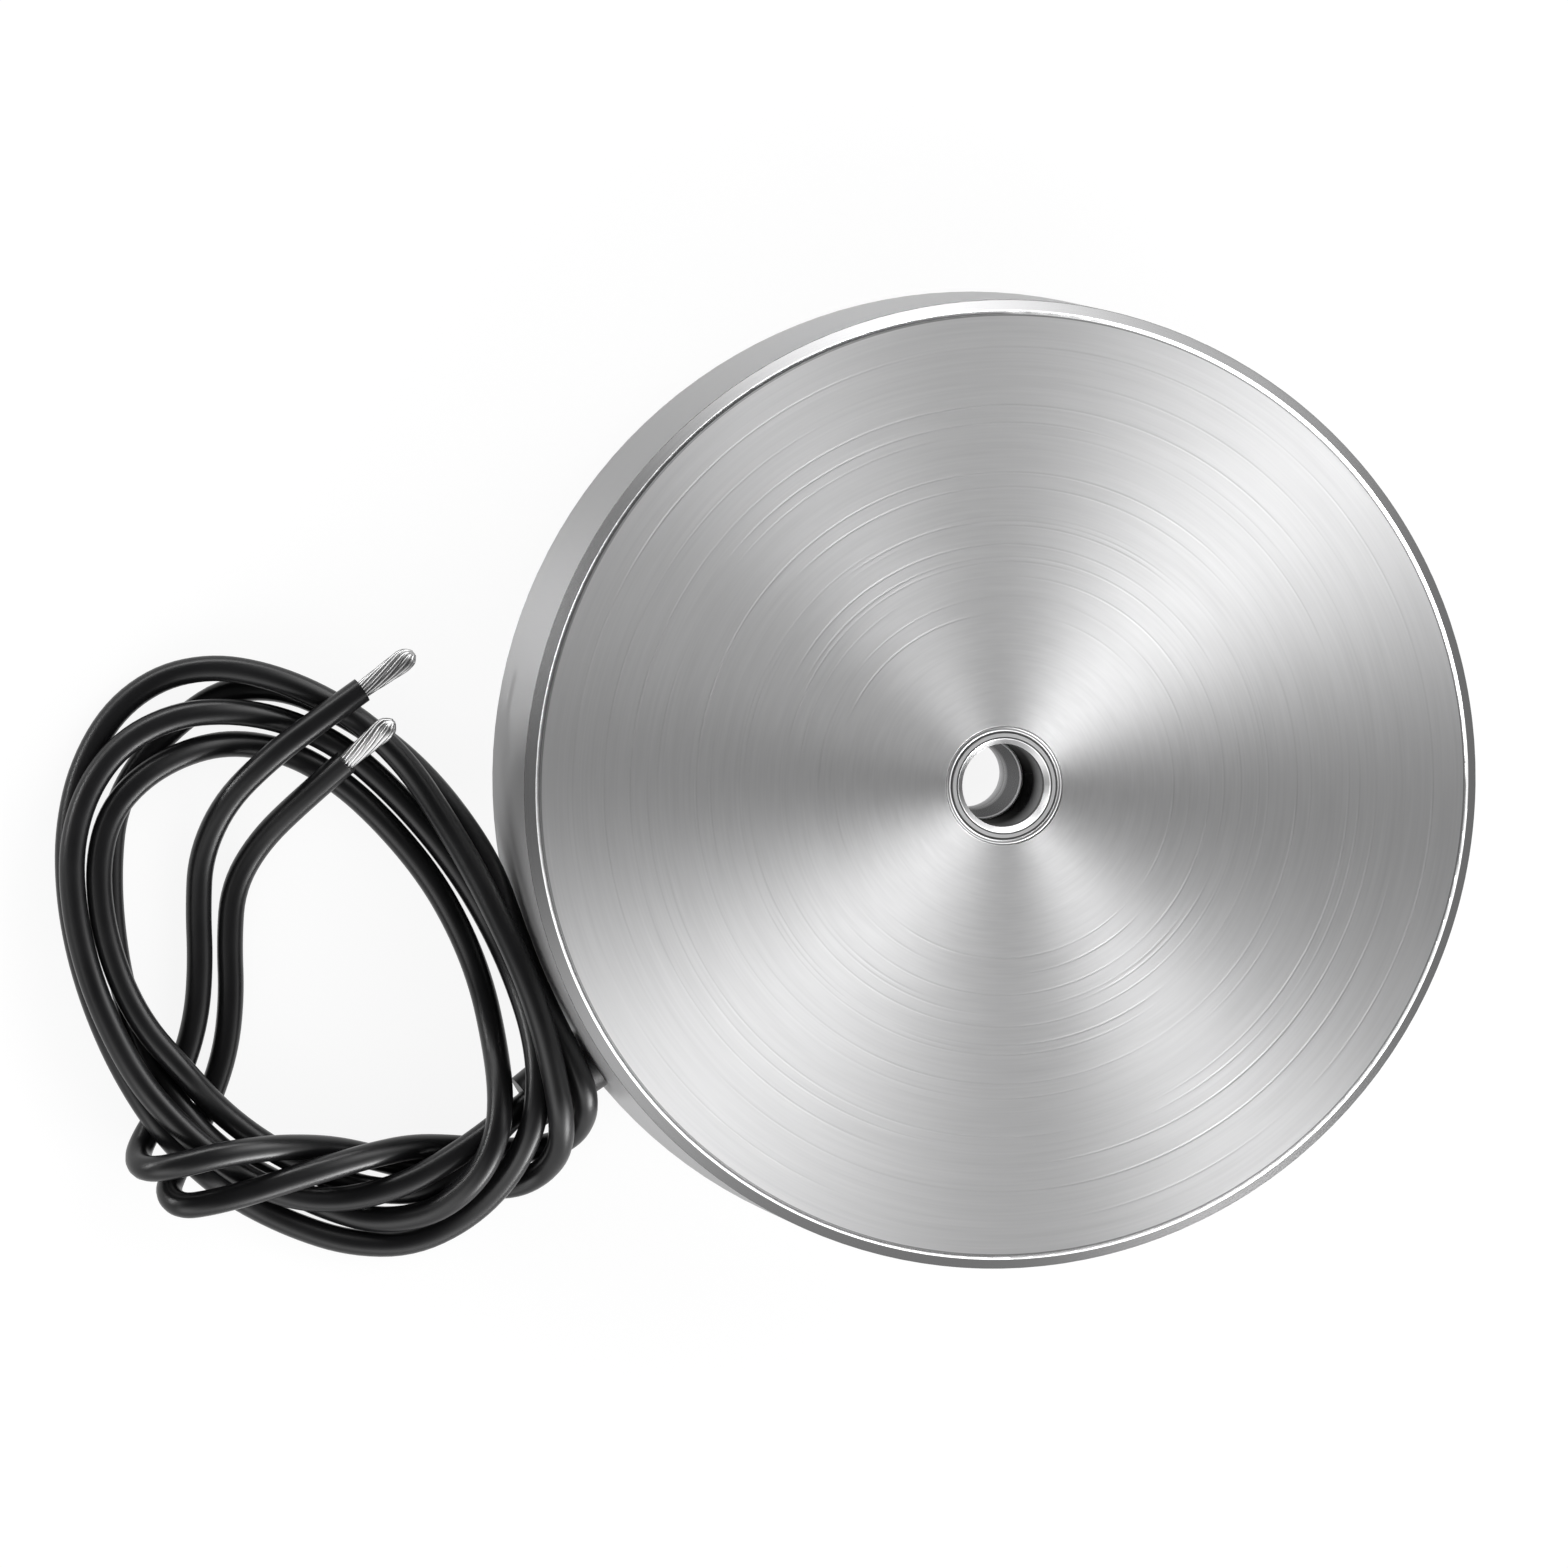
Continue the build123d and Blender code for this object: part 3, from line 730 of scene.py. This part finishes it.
LEAD_B_ROUTE: tuple[Point, ...] = (
    # out along the bottom of the coil, under the other lead
    (-52.1, -39.5, 4.5), (-56.2, -43.0, 4.0), (-61.5, -43.3, 2.0), (-66.5, -42.0, 1.35),
    (-71.3, -39.7, 2.9), (-75.4, -37.3, 3.9), (-79.3, -34.2, 4.4),
    # first turn, inside the other lead
    (-83.1, -30.2, 6.0), (-86.8, -26.1, 5.3), (-89.4, -21.2, 4.4), (-91.2, -15.4, 4.1),
    (-91.8, -9.3, 4.1), (-90.6, -3.9, 4.15),
    (-87.2, 0.0, 4.3), (-82.3, 2.5, 3.3), (-77.0, 3.3, 1.5), (-71.3, 2.2, 1.35),
    (-65.9, -0.9, 1.35), (-61.0, -5.4, 1.35), (-56.6, -10.6, 1.35),
    (-53.4, -16.0, 1.35), (-51.1, -21.6, 1.5), (-50.1, -27.2, 3.6), (-50.0, -32.4, 7.8),
    (-50.6, -37.0, 9.7), (-52.6, -41.6, 8.5), (-56.5, -45.3, 5.4),
    (-61.9, -46.4, 2.2), (-67.4, -44.8, 1.4), (-72.3, -42.4, 1.35), (-76.7, -40.1, 2.7),
    # second turn, last along the pot's wall and over the strain relief
    (-80.9, -36.8, 4.4), (-84.1, -32.7, 4.3), (-86.7, -27.8, 2.1), (-88.7, -22.0, 1.35),
    (-89.8, -15.5, 1.35), (-90.1, -9.5, 1.35), (-89.6, -3.7, 1.35), (-87.1, 1.1, 1.35),
    (-83.1, 5.4, 1.35),
    (-78.0, 8.8, 1.35), (-72.0, 8.9, 1.35), (-66.4, 6.5, 1.35), (-61.3, 3.3, 1.35),
    (-57.0, -0.6, 2.0), (-53.5, -5.2, 4.2), (-50.9, -9.9, 6.6),
    (-49.3, -15.0, 8.6), (-47.5, -20.0, 9.6), (-45.2, -24.8, 9.9), (-43.0, -29.0, 10.0),
    (-41.3, -32.8, 9.2), (-40.9, -36.0, 5.0),
    # back under the coil
    (-42.6, -38.3, 2.2), (-46.2, -39.1, 1.35), (-50.2, -39.1, 1.35), (-54.3, -38.7, 1.6),
    (-58.6, -38.5, 3.4), (-63.2, -39.2, 5.5), (-67.8, -40.3, 7.1), (-72.2, -41.6, 7.5),
    (-76.4, -42.9, 7.6),
    # round the coil once, at its lower left
    (-80.2, -43.9, 7.2), (-83.0, -44.4, 6.0), (-84.1, -43.3, 3.6), (-83.1, -41.4, 1.6),
    (-81.4, -38.2, 1.35),
    # free end, up inside the coil and out over its top
    (-79.4, -33.8, 1.35), (-77.7, -28.5, 1.35), (-77.2, -22.9, 1.35), (-77.5, -17.3, 1.35),
    (-77.2, -11.8, 1.4), (-74.8, -7.0, 2.7), (-70.8, -2.5, 5.2), (-66.5, 1.6, 7.2),
)


def new_tube(name: str, diameter: float, along: int, around: int) -> bpy.types.Curve:
    """Starts a curve as thick as a lead or a strand.

    Args:
        name: the curve's name.
        diameter: its thickness, in millimetres.
        along: how finely each of its spans is divided.
        around: how finely its section is divided.

    Returns:
        The curve, with no line in it yet.
    """
    curve = bpy.data.curves.new(name, "CURVE")
    curve.dimensions = "3D"
    curve.resolution_u = along
    curve.bevel_depth = diameter / 2 * MM
    curve.bevel_resolution = around
    curve.use_fill_caps = True
    return curve


def add_line(curve: bpy.types.Curve, points: list[Point], radii: list[float]) -> None:
    """Adds a smooth open line to a curve.

    Args:
        curve: the curve.
        points: its control points, in millimetres.
        radii: how thick it is at each, as a share of the curve's thickness.
    """
    spline = curve.splines.new("NURBS")
    spline.points.add(len(points) - 1)
    for knot, point, radius in zip(spline.points, points, radii):
        knot.co = (*(c * MM for c in point), 1.0)
        knot.radius = radius
    spline.order_u = 3
    spline.use_endpoint_u = True


def place_curve(name: str, curve: bpy.types.Curve, node: str) -> bpy.types.Object:
    """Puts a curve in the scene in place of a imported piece.

    Args:
        name: the new piece's name.
        curve: its curve.
        node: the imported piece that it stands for.

    Returns:
        The new piece.
    """
    piece = bpy.data.objects.new(name, curve)
    bpy.context.scene.collection.objects.link(piece)
    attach(piece, "root")
    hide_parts(node)
    return piece


@dataclass
class StrippedEnd:
    """The twisted strands at a lead's end. Sizes are in millimetres.

    Args:
        length: how far it stands out of the insulation.
        strands: how many strands lie round the middle one.
        thickness: how thick a strand is.
        root_radius: how far the strands lie from the middle where the insulation ends.
        full_radius: how far at their widest.
        end_radius: how far at the very end.
        dome: share of the length over which the end rounds off.
        twist: how far a strand turns from end to end.
        steps: points along each strand.
        core_radius: radius of the middle strand at the widest place.
        overlap: how far back in the insulation the strands begin.
        middle_sink: how much shorter than the rest the middle strand is.
        sink: how much shorter than the whole the others are.
        unevenness: how much they differ in that.
        beats: how often the difference comes back round the end.
    """

    length: float = 6.6
    strands: int = 11
    thickness: float = 0.55
    root_radius: float = 0.62
    full_radius: float = 0.92
    end_radius: float = 0.16
    dome: float = 0.2
    twist: float = math.radians(105.0)
    steps: int = 20
    core_radius: float = 0.78
    overlap: float = 0.3
    middle_sink: float = 0.45
    sink: float = 0.25
    unevenness: float = 0.06
    beats: float = 5.0

    def spread(self, share: float) -> float:
        """Gives how far the strands lie from the middle at a share of the length.

        Args:
            share: 0 where the insulation ends, 1 at the very end.

        Returns:
            The distance, in millimetres.
        """
        straight = 1.0 - self.dome
        if share < straight:
            return self.root_radius + (self.full_radius - self.root_radius) * share / straight
        fall = math.sqrt(1.0 - ((share - straight) / self.dome) ** 2)
        return self.end_radius + (self.full_radius - self.end_radius) * fall

    def build(self, node: str, start: Vector, along: Vector, material: bpy.types.Material) -> (
            bpy.types.Object):
        """Builds the strands at the end of a lead.

        Args:
            node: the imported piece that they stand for.
            start: where the insulation ends.
            along: the lead's direction there.
            material: their finish.

        Returns:
            The piece.
        """
        axis = along.normalized()
        side = axis.cross(Vector((0.0, 0.0, 1.0))).normalized()
        up = side.cross(axis)
        curve = new_tube(f"{node}_strands", self.thickness, 5, 4)
        swell = 2.0 * self.core_radius / self.thickness / self.full_radius
        for index in range(self.strands + 1):
            middle = index == self.strands
            phase = math.tau * index / self.strands
            sink = self.middle_sink if middle else self.sink + self.unevenness * math.sin(self.beats * phase)
            points, radii = [], []
            for step in range(self.steps):
                share = step / (self.steps - 1)
                angle = phase + self.twist * share
                reach = 0.0 if middle else self.spread(share)
                height = (self.length - sink) * share - self.overlap * (1.0 - share)
                aside = side * reach * math.cos(angle) + up * reach * math.sin(angle)
                points.append(start + axis * height + aside)
                radii.append(swell * self.spread(share) if middle else 1.0)
            add_line(curve, points, radii)
        curve.materials.append(material)
        tip = place_curve(f"{node}_strands", curve, node)
        LOG.info("%s: %d strands", tip.name, self.strands)
        return tip


@dataclass
class Leads:
    """The strain relief, the two leads and their stripped ends. Sizes are in millimetres.

    Args:
        diameter: the leads' thickness.
        exit_angle: direction of the strain relief from the magnet's axis.
        exit_height: height of the strain relief's middle.
        spacing: distance between the leads where they leave.
        inner_radius: where they begin, from the magnet's axis.
        bend_radius: where they begin to fan out.
        out_radius: where they leave the strain relief.
        fan: how far aside each is there.
        length_a: the first lead's real length; not used.
        length_b: the second lead's real length; not used.
        insulation: the leads' finish.
        rubber: the strain relief's finish.
        strands: the stripped ends' finish.
        tip: the stripped end.
    """

    diameter: float = 2.7
    exit_angle: float = math.radians(216.0)
    exit_height: float = 4.4
    spacing: float = 2.8
    inner_radius: float = 44.2
    bend_radius: float = 51.5
    out_radius: float = 59.0
    fan: float = 0.25
    length_a: float = 460.0
    length_b: float = 417.0
    insulation: SoftBlack = SoftBlack("lead_insulation", (0.007, 0.007, 0.0075), 0.31)
    rubber: SoftBlack = SoftBlack("sleeve_rubber", (0.016, 0.016, 0.017), 0.42, 0.01)
    strands: PlainFinish = PlainFinish("tinned_strands", (0.42, 0.42, 0.42), 0.33, 1.0, 0.25)
    tip: StrippedEnd = field(default_factory=StrippedEnd)

    def at_exit(self, radius: float, height: float, side: float = 0.0) -> Point:
        """Gives a point on the line of the strain relief.

        Args:
            radius: distance from the magnet's axis.
            height: height above the floor.
            side: distance to the side of the line.

        Returns:
            The point, in millimetres.
        """
        along = Vector((math.cos(self.exit_angle), math.sin(self.exit_angle), 0.0))
        across = Vector((-along.y, along.x, 0.0))
        place = along * radius + across * side
        return (place.x, place.y, height)

    def lay(self, name: str, height: float, fan: float, route: tuple[Point, ...],
            finishes: tuple[bpy.types.Material, bpy.types.Material]) -> None:
        """Lays one lead as a smooth curve along its route.

        Args:
            name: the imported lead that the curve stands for.
            height: height at which it leaves the magnet.
            fan: how far it bends aside in the strain relief.
            route: its points beyond the strain relief.
            finishes: the insulation's finish and the strands'.
        """
        start = self.at_exit(self.inner_radius, height)
        points = [start, self.at_exit(self.bend_radius, height), self.at_exit(self.out_radius, height, fan)]
        points += list(route)
        curve = new_tube(f"{name}_cord", self.diameter, 6, 6)
        add_line(curve, points, [1.0] * len(points))
        curve.materials.append(finishes[0])
        lead = place_curve(f"{name}_cord", curve, name)
        end = Vector(points[-1])
        tip = self.tip.build(f"{name}_tip", end, end - Vector(points[-2]), finishes[1])
        LOG.info("%s: %d points", lead.name, len(points))

    def build(self, groups: Groups) -> None:
        """Lays both leads and dresses what is on them.

        Args:
            groups: the shared node groups.
        """
        finishes = (self.insulation.build(groups), self.strands.build(groups))
        half = self.spacing / 2
        self.lay("lead_a", self.exit_height + half, -self.fan, LEAD_A_ROUTE,
                 finishes)
        self.lay("lead_b", self.exit_height - half, self.fan, LEAD_B_ROUTE, finishes)
        dress("lead_sleeve", self.rubber.build(groups))


@dataclass(frozen=True)
class SoftBox:
    """One soft light in the studio, as a patch of the sky. Angles are in degrees.

    Args:
        azimuth: its direction round the magnet, from +X towards +Y.
        zenith: its angle from straight up.
        width: how far it spreads.
        strength: how bright it is.
        height: how far a low strip light spreads upwards; 0 for a round light.
    """

    azimuth: float
    zenith: float
    width: float
    strength: float
    height: float = 0.0

    def direction(self) -> Point:
        """Gives the unit vector towards the light."""
        a, z = math.radians(self.azimuth), math.radians(self.zenith)
        return (math.cos(a) * math.sin(z), math.sin(a) * math.sin(z), math.cos(z))

    def glow(self, nodes: Nodes, towards: bpy.types.NodeSocket, rise: bpy.types.NodeSocket) -> (
            bpy.types.NodeSocket):
        """Adds the light to the sky.

        Args:
            nodes: the calls for the sky's tree.
            towards: the direction looked in.
            rise: how far that direction rises.

        Returns:
            How bright the light makes the sky there.
        """
        middle = self.direction()
        dot = nodes.vector_math("DOT_PRODUCT", towards, middle).outputs["Value"]
        fall = nodes.math("DIVIDE", nodes.math("SUBTRACT", dot, 1.0), math.radians(self.width) ** 2)
        if self.height:
            above = nodes.math("SUBTRACT", rise, middle[2])
            narrow = -0.5 / math.radians(self.height) ** 2
            fall = nodes.math("MULTIPLY_ADD", nodes.math("MULTIPLY", above, above), narrow, fall)
        return nodes.math("MULTIPLY", nodes.math("EXPONENT", fall), self.strength)


@dataclass
class Studio:
    """The floor, the light and the camera. Sizes are in metres.

    Args:
        floor_half: half the floor's side.
        floor_drop: how far it lies below the magnet.
        floor_bounce: how pale it is for the light that it throws back.
        floor_white: how bright it shows by itself.
        floor_shadow: how strongly a shadow shows on it.
        base_level: how bright the sky is between the lights.
        boxes: the soft lights.
        sensor: the camera's film width, in millimetres.
        lens: its focal length, in millimetres.
        clip: nearest and furthest distance that it sees.
        camera_at: where it stands.
        camera_axes: its right, up and backward directions.
    """

    floor_half: float = 4.0
    floor_drop: float = 0.0001
    floor_bounce: float = 0.8
    floor_white: float = 0.9
    floor_shadow: float = 0.1
    base_level: float = 0.06
    boxes: tuple[SoftBox, ...] = (
        SoftBox(36.0, 68.0, 16.0, 7.6),
        SoftBox(330.0, 68.0, 14.0, 3.1),
        SoftBox(300.0, 68.0, 14.0, 2.0),
        SoftBox(270.0, 68.0, 14.0, 2.0),
        SoftBox(228.0, 66.0, 17.0, 3.6),
        SoftBox(312.0, 86.0, 10.0, 24.0),
        SoftBox(99.0, 84.0, 25.0, 11.5, 5.0),
        SoftBox(172.0, 69.0, 22.0, 2.0, 3.0),
        SoftBox(160.0, 88.5, 10.0, 30.0, 2.5),
    )
    sensor: float = 36.0
    lens: float = 459.18
    clip: tuple[float, float] = (0.01, 50.0)
    camera_at: Point = (-0.41519, 0.13786, 2.03027)
    camera_axes: tuple[Point, Point, Point] = (
        (0.981589, 0.013051, 0.190560), (0.0, 0.997663, -0.068330), (-0.191006, 0.067072, 0.979295))

    def build_floor(self) -> None:
        """Makes the pale floor that shows white and keeps a light shadow."""
        shape = bmesh.new()
        bmesh.ops.create_grid(shape, x_segments=1, y_segments=1, size=self.floor_half)
        bmesh.ops.translate(shape, verts=shape.verts, vec=(0.0, 0.0, -self.floor_drop))
        mesh = bpy.data.meshes.new("floor")
        shape.to_mesh(mesh)
        shape.free()
        floor = bpy.data.objects.new("floor", mesh)
        bpy.context.scene.collection.objects.link(floor)
        material = bpy.data.materials.new("floor")
        material.use_nodes = True
        nodes = Nodes(material.node_tree)
        material.node_tree.nodes.clear()
        lit = nodes.add("ShaderNodeBsdfDiffuse")
        lit.inputs["Color"].default_value = grey(self.floor_bounce)
        white = nodes.add("ShaderNodeEmission")
        white.inputs["Strength"].default_value = self.floor_white
        shadow = nodes.add("ShaderNodeBsdfDiffuse")
        shadow.inputs["Color"].default_value = grey(self.floor_shadow)
        shown = nodes.add("ShaderNodeAddShader")
        nodes.put(shown.inputs[0], white.outputs[0])
        nodes.put(shown.inputs[1], shadow.outputs[0])
        mix = nodes.add("ShaderNodeMixShader")
        nodes.put(mix.inputs[0], self.seen(nodes))
        nodes.put(mix.inputs[1], lit.outputs[0])
        nodes.put(mix.inputs[2], shown.outputs[0])
        out = nodes.add("ShaderNodeOutputMaterial")
        nodes.put(out.inputs[0], mix.outputs[0])
        mesh.materials.append(material)

    @staticmethod
    def seen(nodes: Nodes) -> bpy.types.NodeSocket:
        """Tells rays that see the background from those that carry its light.

        Args:
            nodes: the calls for the tree.

        Returns:
            1 for a ray from the camera, a reflection or glass.
        """
        path = nodes.add("ShaderNodeLightPath")
        some = nodes.math("MAXIMUM", path.outputs["Is Camera Ray"], path.outputs["Is Glossy Ray"])
        return nodes.math("MAXIMUM", some, path.outputs["Is Transmission Ray"])

    def build_light(self) -> None:
        """Sets the sky: soft lights on a dim dome, and plain white where the camera sees it."""
        world = bpy.data.worlds.new("studio")
        bpy.context.scene.world = world
        world.use_nodes = True
        nodes = Nodes(world.node_tree)
        world.node_tree.nodes.clear()
        towards = nodes.add("ShaderNodeTexCoord").outputs["Generated"]
        parts = nodes.add("ShaderNodeSeparateXYZ")
        nodes.put(parts.inputs[0], towards)
        level: object = self.base_level
        for box in self.boxes:
            level = nodes.math("ADD", level, box.glow(nodes, towards, parts.outputs[2]))
        seen = nodes.add("ShaderNodeLightPath").outputs["Is Camera Ray"]
        unseen = nodes.math("SUBTRACT", 1.0, seen)
        level = nodes.math("MULTIPLY_ADD", level, unseen, seen)
        sky = nodes.add("ShaderNodeBackground")
        nodes.put(sky.inputs["Strength"], level)
        sky.inputs["Color"].default_value = grey(1.0)
        out = nodes.add("ShaderNodeOutputWorld")
        nodes.put(out.inputs[0], sky.outputs[0])

    def build_camera(self) -> None:
        """Places the camera at the photograph's point of view."""
        data = bpy.data.cameras.new("camera")
        data.sensor_width = self.sensor
        data.lens = self.lens
        data.clip_start, data.clip_end = self.clip
        camera = bpy.data.objects.new("camera", data)
        turn = Matrix(self.camera_axes).transposed().to_4x4()
        camera.matrix_world = Matrix.Translation(self.camera_at) @ turn
        bpy.context.scene.collection.objects.link(camera)
        bpy.context.scene.camera = camera

    def build(self) -> None:
        """Builds the whole studio."""
        self.build_floor()
        self.build_light()
        self.build_camera()
        bpy.context.scene.view_settings.view_transform = "Standard"


def main() -> None:
    """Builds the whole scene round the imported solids."""
    logging.basicConfig(level=logging.INFO, format="%(message)s")
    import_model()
    groups = Groups(turned_place_group(), tool_marks_group(), ring_group(), speckle_group())
    Studio().build()
    Leads().build(groups)
    SteelBody().build(groups)
    Coil().build(groups)


if __name__ == "__main__":
    main()
